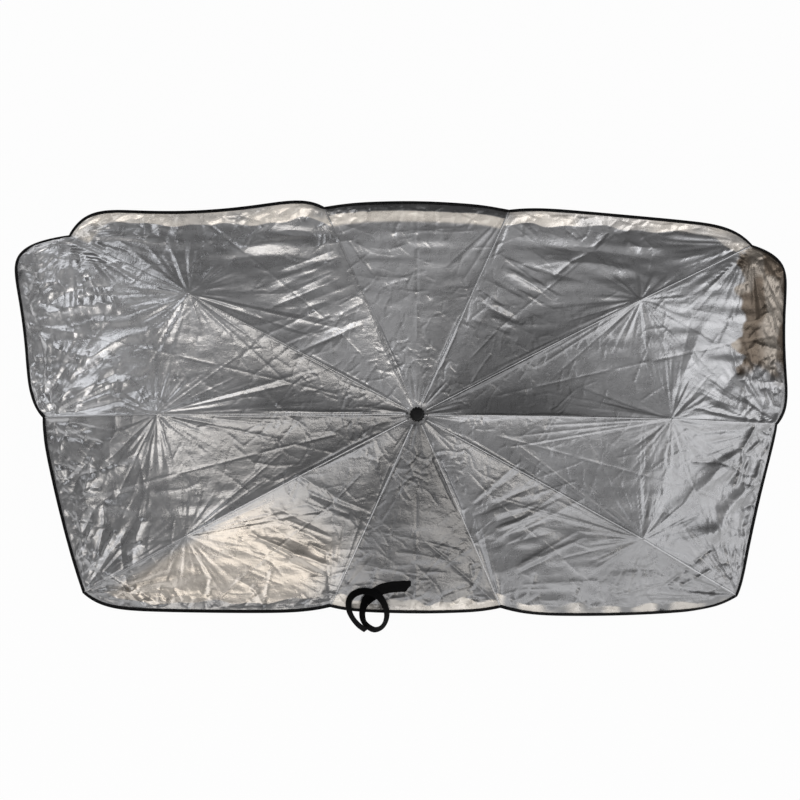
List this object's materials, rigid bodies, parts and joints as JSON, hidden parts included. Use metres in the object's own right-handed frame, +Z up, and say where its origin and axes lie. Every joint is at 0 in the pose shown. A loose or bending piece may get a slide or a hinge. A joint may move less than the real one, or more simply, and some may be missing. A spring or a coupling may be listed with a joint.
{
  "type": "windscreen sunshade",
  "caption": "Umbrella-type windscreen sunshade: wide silver-coated canopy with a bound hem on a folding rib frame, telescoping shaft, handle and fastening strap.",
  "frame": {"origin": "middle of the footprint of the whole part, on the surface that it rests on", "axes": "+X along the long side of the canopy, +Y towards its wide upper edge, +Z up; the shade lies on its handle rim and two lower hem corners"},
  "size_m": [1.4684, 0.7152, 0.4672],
  "materials": {
    "silver_fabric": "silver-coated woven cloth, creased",
    "binding_fabric": "black folded tape",
    "strap_fabric": "black hook-and-loop webbing",
    "rib_steel": "black lacquered steel channel",
    "rib_glass_fibre": "satin glass-fibre rod",
    "shaft_steel": "plated steel tube",
    "crown_plastic": "moulded, satin",
    "handle_plastic": "moulded, satin"
  },
  "bodies": {
    "crown": {"crown": "crown_plastic", "crown_cap": "crown_plastic", "upper_tube": "shaft_steel", "gore_1": "silver_fabric", "gore_2": "silver_fabric", "gore_3": "silver_fabric", "gore_4": "silver_fabric", "gore_5": "silver_fabric", "gore_6": "silver_fabric", "gore_7": "silver_fabric", "gore_8": "silver_fabric", "gore_9": "silver_fabric", "gore_10": "silver_fabric", "hem_binding": "binding_fabric", "strap": "strap_fabric"},
    "runner": {"runner": "handle_plastic"},
    "release_button": {"release_button": "handle_plastic"},
    "shaft_middle": {"middle_tube": "shaft_steel"},
    "shaft_lower": {"lower_tube": "shaft_steel", "handle": "handle_plastic", "handle_cap": "handle_plastic"},
    "top_arm_1": {"top_rib_1": "rib_steel"},
    "middle_arm_1": {"middle_rib_1": "rib_steel"},
    "stay_1": {"stretcher_1": "rib_steel"},
    "outer_arm_1": {"outer_rib_1": "rib_glass_fibre"},
    "top_arm_2": {"top_rib_2": "rib_steel"},
    "middle_arm_2": {"middle_rib_2": "rib_steel"},
    "stay_2": {"stretcher_2": "rib_steel"},
    "top_arm_3": {"top_rib_3": "rib_steel"},
    "middle_arm_3": {"middle_rib_3": "rib_steel"},
    "stay_3": {"stretcher_3": "rib_steel"},
    "top_arm_4": {"top_rib_4": "rib_steel"},
    "middle_arm_4": {"middle_rib_4": "rib_steel"},
    "stay_4": {"stretcher_4": "rib_steel"},
    "outer_arm_4": {"outer_rib_4": "rib_glass_fibre"},
    "top_arm_5": {"top_rib_5": "rib_steel"},
    "middle_arm_5": {"middle_rib_5": "rib_steel"},
    "stay_5": {"stretcher_5": "rib_steel"},
    "outer_arm_5": {"outer_rib_5": "rib_glass_fibre"},
    "top_arm_6": {"top_rib_6": "rib_steel"},
    "middle_arm_6": {"middle_rib_6": "rib_steel"},
    "stay_6": {"stretcher_6": "rib_steel"},
    "outer_arm_6": {"outer_rib_6": "rib_glass_fibre"},
    "top_arm_7": {"top_rib_7": "rib_steel"},
    "middle_arm_7": {"middle_rib_7": "rib_steel"},
    "stay_7": {"stretcher_7": "rib_steel"},
    "top_arm_8": {"top_rib_8": "rib_steel"},
    "middle_arm_8": {"middle_rib_8": "rib_steel"},
    "stay_8": {"stretcher_8": "rib_steel"},
    "top_arm_9": {"top_rib_9": "rib_steel"},
    "middle_arm_9": {"middle_rib_9": "rib_steel"},
    "stay_9": {"stretcher_9": "rib_steel"},
    "outer_arm_9": {"outer_rib_9": "rib_glass_fibre"},
    "top_arm_10": {"top_rib_10": "rib_steel"},
    "middle_arm_10": {"middle_rib_10": "rib_steel"},
    "stay_10": {"stretcher_10": "rib_steel"},
    "outer_arm_10": {"outer_rib_10": "rib_glass_fibre"}
  },
  "joints": [
    {"name": "fold", "type": "hinge", "parent": "crown", "child": "top_arm_1", "pos_m": [0.02462, -0.03334, 0.28195], "axis": [-0.4695, 0.7479, 0.4693], "range_deg": [0, 86], "deforming": ["gore_1", "gore_2", "gore_3", "gore_4", "gore_5", "gore_6", "gore_7", "gore_8", "gore_9", "gore_10", "hem_binding", "strap"]},
    {"name": "knee_1", "type": "hinge", "parent": "top_arm_1", "child": "middle_arm_1", "pos_m": [0.22943, 0.06161, 0.33552], "axis": [-0.4695, 0.7479, 0.4693], "range_deg": [-179, 0]},
    {"name": "tip_knee_1", "type": "hinge", "parent": "middle_arm_1", "child": "outer_arm_1", "pos_m": [0.43172, 0.16873, 0.36718], "axis": [-0.4695, 0.7479, 0.4693], "range_deg": [0, 161]},
    {"name": "stay_pivot_1", "type": "hinge", "parent": "top_arm_1", "child": "stay_1", "pos_m": [0.11714, 0.01254, 0.3014], "axis": [-0.4695, 0.7479, 0.4693], "range_deg": [-151, 0]},
    {"name": "fold_2", "type": "hinge", "parent": "crown", "child": "top_arm_2", "pos_m": [0.01938, -0.0292, 0.28455], "axis": [-0.9135, 0.3445, 0.2162], "range_deg": [0, 86]},
    {"name": "knee_2", "type": "hinge", "parent": "top_arm_2", "child": "middle_arm_2", "pos_m": [0.11373, 0.153, 0.39287], "axis": [-0.9135, 0.3445, 0.2162], "range_deg": [-179, 0]},
    {"name": "stay_pivot_2", "type": "hinge", "parent": "top_arm_2", "child": "stay_2", "pos_m": [0.062, 0.05609, 0.32873], "axis": [-0.9135, 0.3445, 0.2162], "range_deg": [-151, 0]},
    {"name": "fold_3", "type": "hinge", "parent": "crown", "child": "top_arm_3", "pos_m": [0.01043, -0.0292, 0.28455], "axis": [-0.9135, -0.3445, -0.2162], "range_deg": [0, 86]},
    {"name": "knee_3", "type": "hinge", "parent": "top_arm_3", "child": "middle_arm_3", "pos_m": [-0.08392, 0.153, 0.39287], "axis": [-0.9135, -0.3445, -0.2162], "range_deg": [-179, 0]},
    {"name": "stay_pivot_3", "type": "hinge", "parent": "top_arm_3", "child": "stay_3", "pos_m": [-0.03219, 0.05609, 0.32873], "axis": [-0.9135, -0.3445, -0.2162], "range_deg": [-151, 0]},
    {"name": "fold_4", "type": "hinge", "parent": "crown", "child": "top_arm_4", "pos_m": [0.00519, -0.03334, 0.28195], "axis": [-0.4695, -0.7479, -0.4693], "range_deg": [0, 86]},
    {"name": "knee_4", "type": "hinge", "parent": "top_arm_4", "child": "middle_arm_4", "pos_m": [-0.19962, 0.06161, 0.33552], "axis": [-0.4695, -0.7479, -0.4693], "range_deg": [-179, 0]},
    {"name": "tip_knee_4", "type": "hinge", "parent": "middle_arm_4", "child": "outer_arm_4", "pos_m": [-0.40191, 0.16873, 0.36718], "axis": [-0.4695, -0.7479, -0.4693], "range_deg": [0, 161]},
    {"name": "stay_pivot_4", "type": "hinge", "parent": "top_arm_4", "child": "stay_4", "pos_m": [-0.08733, 0.01254, 0.3014], "axis": [-0.4695, -0.7479, -0.4693], "range_deg": [-151, 0]},
    {"name": "fold_5", "type": "hinge", "parent": "crown", "child": "top_arm_5", "pos_m": [0.00391, -0.03771, 0.27921], "axis": [0, -0.847, -0.5315], "range_deg": [0, 86]},
    {"name": "knee_5", "type": "hinge", "parent": "top_arm_5", "child": "middle_arm_5", "pos_m": [-0.22806, -0.035, 0.27489], "axis": [0, -0.847, -0.5315], "range_deg": [-179, 0]},
    {"name": "tip_knee_5", "type": "hinge", "parent": "middle_arm_5", "child": "outer_arm_5", "pos_m": [-0.45716, -0.019, 0.24938], "axis": [0, -0.847, -0.5315], "range_deg": [0, 161]},
    {"name": "stay_pivot_5", "type": "hinge", "parent": "top_arm_5", "child": "stay_5", "pos_m": [-0.10088, -0.03351, 0.27251], "axis": [0, -0.847, -0.5315], "range_deg": [-151, 0]},
    {"name": "fold_6", "type": "hinge", "parent": "crown", "child": "top_arm_6", "pos_m": [0.00519, -0.04209, 0.27646], "axis": [0.4695, -0.7479, -0.4693], "range_deg": [0, 86]},
    {"name": "knee_6", "type": "hinge", "parent": "top_arm_6", "child": "middle_arm_6", "pos_m": [-0.19962, -0.13162, 0.21426], "axis": [0.4695, -0.7479, -0.4693], "range_deg": [-179, 0]},
    {"name": "tip_knee_6", "type": "hinge", "parent": "middle_arm_6", "child": "outer_arm_6", "pos_m": [-0.40191, -0.20672, 0.13158], "axis": [0.4695, -0.7479, -0.4693], "range_deg": [0, 161]},
    {"name": "stay_pivot_6", "type": "hinge", "parent": "top_arm_6", "child": "stay_6", "pos_m": [-0.08733, -0.07955, 0.24361], "axis": [0.4695, -0.7479, -0.4693], "range_deg": [-151, 0]},
    {"name": "fold_7", "type": "hinge", "parent": "crown", "child": "top_arm_7", "pos_m": [0.01043, -0.04623, 0.27387], "axis": [0.9135, -0.3445, -0.2162], "range_deg": [0, 86]},
    {"name": "knee_7", "type": "hinge", "parent": "top_arm_7", "child": "middle_arm_7", "pos_m": [-0.08392, -0.22301, 0.15691], "axis": [0.9135, -0.3445, -0.2162], "range_deg": [-179, 0]},
    {"name": "stay_pivot_7", "type": "hinge", "parent": "top_arm_7", "child": "stay_7", "pos_m": [-0.03219, -0.12311, 0.21628], "axis": [0.9135, -0.3445, -0.2162], "range_deg": [-151, 0]},
    {"name": "fold_8", "type": "hinge", "parent": "crown", "child": "top_arm_8", "pos_m": [0.01938, -0.04623, 0.27387], "axis": [0.9135, 0.3445, 0.2162], "range_deg": [0, 86]},
    {"name": "knee_8", "type": "hinge", "parent": "top_arm_8", "child": "middle_arm_8", "pos_m": [0.11373, -0.22301, 0.15691], "axis": [0.9135, 0.3445, 0.2162], "range_deg": [-179, 0]},
    {"name": "stay_pivot_8", "type": "hinge", "parent": "top_arm_8", "child": "stay_8", "pos_m": [0.062, -0.12311, 0.21628], "axis": [0.9135, 0.3445, 0.2162], "range_deg": [-151, 0]},
    {"name": "fold_9", "type": "hinge", "parent": "crown", "child": "top_arm_9", "pos_m": [0.02462, -0.04209, 0.27646], "axis": [0.4695, 0.7479, 0.4693], "range_deg": [0, 86]},
    {"name": "knee_9", "type": "hinge", "parent": "top_arm_9", "child": "middle_arm_9", "pos_m": [0.22943, -0.13162, 0.21426], "axis": [0.4695, 0.7479, 0.4693], "range_deg": [-179, 0]},
    {"name": "tip_knee_9", "type": "hinge", "parent": "middle_arm_9", "child": "outer_arm_9", "pos_m": [0.43172, -0.20672, 0.13158], "axis": [0.4695, 0.7479, 0.4693], "range_deg": [0, 161]},
    {"name": "stay_pivot_9", "type": "hinge", "parent": "top_arm_9", "child": "stay_9", "pos_m": [0.11714, -0.07955, 0.24361], "axis": [0.4695, 0.7479, 0.4693], "range_deg": [-151, 0]},
    {"name": "fold_10", "type": "hinge", "parent": "crown", "child": "top_arm_10", "pos_m": [0.02591, -0.03771, 0.27921], "axis": [0, 0.847, 0.5315], "range_deg": [0, 86]},
    {"name": "knee_10", "type": "hinge", "parent": "top_arm_10", "child": "middle_arm_10", "pos_m": [0.25787, -0.035, 0.27489], "axis": [0, 0.847, 0.5315], "range_deg": [-179, 0]},
    {"name": "tip_knee_10", "type": "hinge", "parent": "middle_arm_10", "child": "outer_arm_10", "pos_m": [0.48698, -0.019, 0.24938], "axis": [0, 0.847, 0.5315], "range_deg": [0, 161]},
    {"name": "stay_pivot_10", "type": "hinge", "parent": "top_arm_10", "child": "stay_10", "pos_m": [0.13069, -0.03351, 0.27251], "axis": [0, 0.847, 0.5315], "range_deg": [-151, 0]},
    {"name": "runner_slide", "type": "slide", "parent": "crown", "child": "runner", "axis": [0, 0.5315, -0.847], "range_m": [0, 0.1634]},
    {"name": "release_press", "type": "slide", "parent": "runner", "child": "release_button", "axis": [0, 0.847, 0.5315], "range_m": [0, 0.0015], "stiffness_N_per_m": 400, "springref_m": -0.0005},
    {"name": "shaft_slide", "type": "slide", "parent": "crown", "child": "shaft_middle", "axis": [0, 0.5315, -0.847], "range_m": [0, 0.1]},
    {"name": "handle_slide", "type": "slide", "parent": "shaft_middle", "child": "shaft_lower", "axis": [0, 0.5315, -0.847], "range_m": [0, 0.1]}
  ],
  "couplings": [
    {"joint": "knee_1", "follows": "fold", "ratio": -2.08},
    {"joint": "tip_knee_1", "follows": "fold", "ratio": 1.87},
    {"joint": "stay_pivot_1", "follows": "fold", "ratio": -1.75},
    {"joint": "fold_2", "follows": "fold", "ratio": 1},
    {"joint": "knee_2", "follows": "fold", "ratio": -2.08},
    {"joint": "stay_pivot_2", "follows": "fold", "ratio": -1.75},
    {"joint": "fold_3", "follows": "fold", "ratio": 1},
    {"joint": "knee_3", "follows": "fold", "ratio": -2.08},
    {"joint": "stay_pivot_3", "follows": "fold", "ratio": -1.75},
    {"joint": "fold_4", "follows": "fold", "ratio": 1},
    {"joint": "knee_4", "follows": "fold", "ratio": -2.08},
    {"joint": "tip_knee_4", "follows": "fold", "ratio": 1.87},
    {"joint": "stay_pivot_4", "follows": "fold", "ratio": -1.75},
    {"joint": "fold_5", "follows": "fold", "ratio": 1},
    {"joint": "knee_5", "follows": "fold", "ratio": -2.08},
    {"joint": "tip_knee_5", "follows": "fold", "ratio": 1.87},
    {"joint": "stay_pivot_5", "follows": "fold", "ratio": -1.75},
    {"joint": "fold_6", "follows": "fold", "ratio": 1},
    {"joint": "knee_6", "follows": "fold", "ratio": -2.08},
    {"joint": "tip_knee_6", "follows": "fold", "ratio": 1.87},
    {"joint": "stay_pivot_6", "follows": "fold", "ratio": -1.75},
    {"joint": "fold_7", "follows": "fold", "ratio": 1},
    {"joint": "knee_7", "follows": "fold", "ratio": -2.08},
    {"joint": "stay_pivot_7", "follows": "fold", "ratio": -1.75},
    {"joint": "fold_8", "follows": "fold", "ratio": 1},
    {"joint": "knee_8", "follows": "fold", "ratio": -2.08},
    {"joint": "stay_pivot_8", "follows": "fold", "ratio": -1.75},
    {"joint": "fold_9", "follows": "fold", "ratio": 1},
    {"joint": "knee_9", "follows": "fold", "ratio": -2.08},
    {"joint": "tip_knee_9", "follows": "fold", "ratio": 1.87},
    {"joint": "stay_pivot_9", "follows": "fold", "ratio": -1.75},
    {"joint": "fold_10", "follows": "fold", "ratio": 1},
    {"joint": "knee_10", "follows": "fold", "ratio": -2.08},
    {"joint": "tip_knee_10", "follows": "fold", "ratio": 1.87},
    {"joint": "stay_pivot_10", "follows": "fold", "ratio": -1.75},
    {"joint": "runner_slide", "follows": "fold", "m_per_rad": 0.1088}
  ]
}
